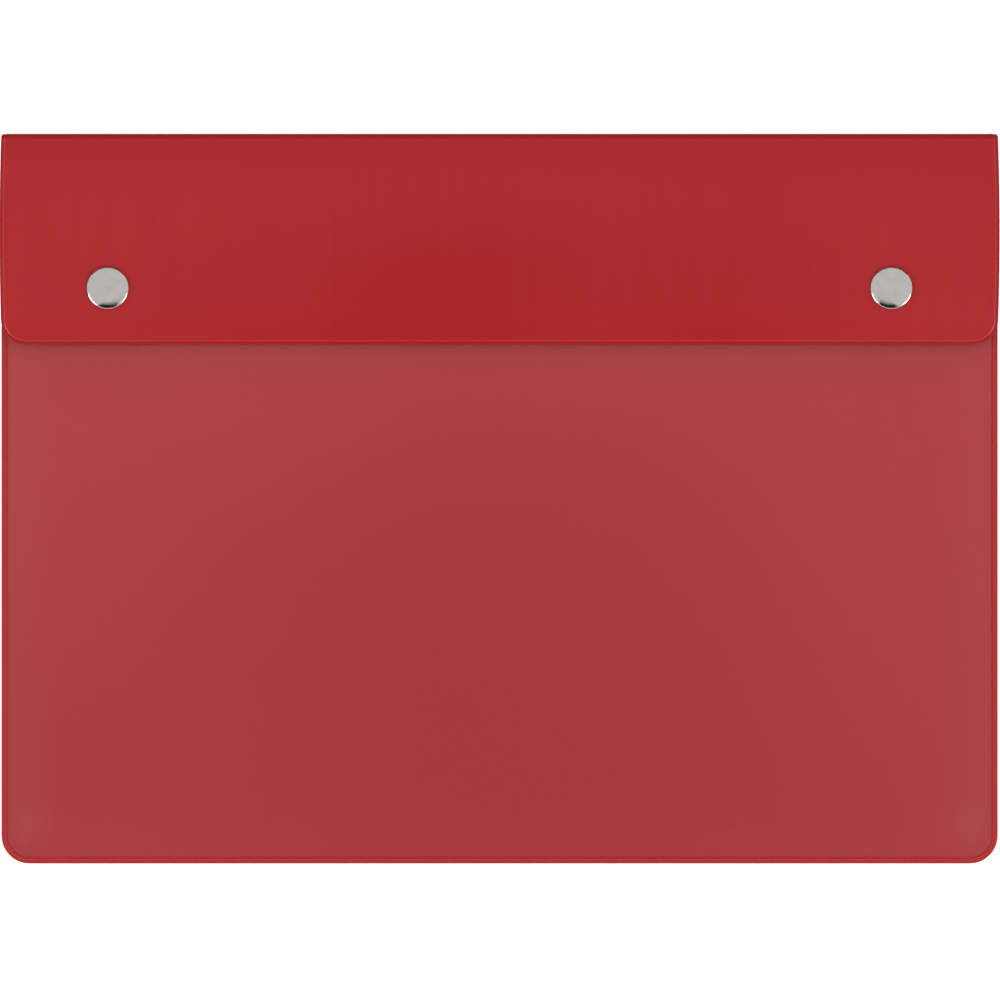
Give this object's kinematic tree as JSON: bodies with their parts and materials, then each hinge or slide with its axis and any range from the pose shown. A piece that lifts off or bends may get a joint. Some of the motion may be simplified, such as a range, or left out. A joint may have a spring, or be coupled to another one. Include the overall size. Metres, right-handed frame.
{
  "type": "portfolio case",
  "caption": "Flat soft case for paper, with a see-through front pocket and a full-width fold-over flap closed by press studs.",
  "frame": {"origin": "centre of the footprint, on the back's outer face, with the case lying on its back", "axes": "+X across the width, +Y towards the fold at the top edge, +Z out of the front"},
  "size_m": [0.356, 0.26, 0.0115],
  "materials": {
    "cover_vinyl": "satin calendered vinyl",
    "lining_vinyl": "matt vinyl",
    "front_film": "hazy translucent vinyl",
    "bright_nickel": "polished nickel plate",
    "plated_steel": "nickel-plated pressed steel",
    "spring_steel": "drawn spring wire"
  },
  "bodies": {
    "root": {"back_cover": "cover_vinyl", "back_lining": "lining_vinyl", "lower_crease_cover": "cover_vinyl", "lower_crease_lining": "lining_vinyl", "mouth_strip": "cover_vinyl", "pocket_front": "front_film", "stud_eyelet_left": "plated_steel", "stud_eyelet_right": "plated_steel", "stud_left": "plated_steel", "stud_right": "plated_steel"},
    "spine": {"spine_cover": "cover_vinyl", "spine_lining": "lining_vinyl", "upper_crease_cover": "cover_vinyl", "upper_crease_lining": "lining_vinyl"},
    "flap": {"cap_post_left": "plated_steel", "cap_post_right": "plated_steel", "cap_shell_left": "bright_nickel", "cap_shell_right": "bright_nickel", "flap_cover": "cover_vinyl", "flap_lining": "lining_vinyl", "socket_left": "plated_steel", "socket_right": "plated_steel"},
    "wire_left_upper": {"spring_wire_left_upper": "spring_steel"},
    "wire_left_lower": {"spring_wire_left_lower": "spring_steel"},
    "wire_right_upper": {"spring_wire_right_upper": "spring_steel"},
    "wire_right_lower": {"spring_wire_right_lower": "spring_steel"}
  },
  "joints": [
    {"name": "spine_fold", "type": "hinge", "parent": "root", "child": "spine", "pos_m": [0, 0.1287, 0.0013], "axis": [-1, 0, 0], "range_deg": [0, 87.3], "deforming": ["lower_crease_cover", "lower_crease_lining"]},
    {"name": "flap_fold", "type": "hinge", "parent": "spine", "child": "flap", "pos_m": [0, 0.1287, 0.0059], "axis": [-1, 0, 0], "range_deg": [0, 87.3], "deforming": ["upper_crease_cover", "upper_crease_lining"]},
    {"name": "left_upper_wire_spread", "type": "slide", "parent": "flap", "child": "wire_left_upper", "axis": [0, 1, 0], "range_m": [0, 0.0005], "stiffness_N_per_m": 5000},
    {"name": "left_lower_wire_spread", "type": "slide", "parent": "flap", "child": "wire_left_lower", "axis": [0, -1, 0], "range_m": [0, 0.0005]},
    {"name": "right_upper_wire_spread", "type": "slide", "parent": "flap", "child": "wire_right_upper", "axis": [0, 1, 0], "range_m": [0, 0.0005], "stiffness_N_per_m": 5000},
    {"name": "right_lower_wire_spread", "type": "slide", "parent": "flap", "child": "wire_right_lower", "axis": [0, -1, 0], "range_m": [0, 0.0005]}
  ],
  "couplings": [
    {"joint": "spine_fold", "follows": "flap_fold", "ratio": 1},
    {"joint": "left_lower_wire_spread", "follows": "left_upper_wire_spread", "ratio": 1},
    {"joint": "right_lower_wire_spread", "follows": "right_upper_wire_spread", "ratio": 1}
  ]
}
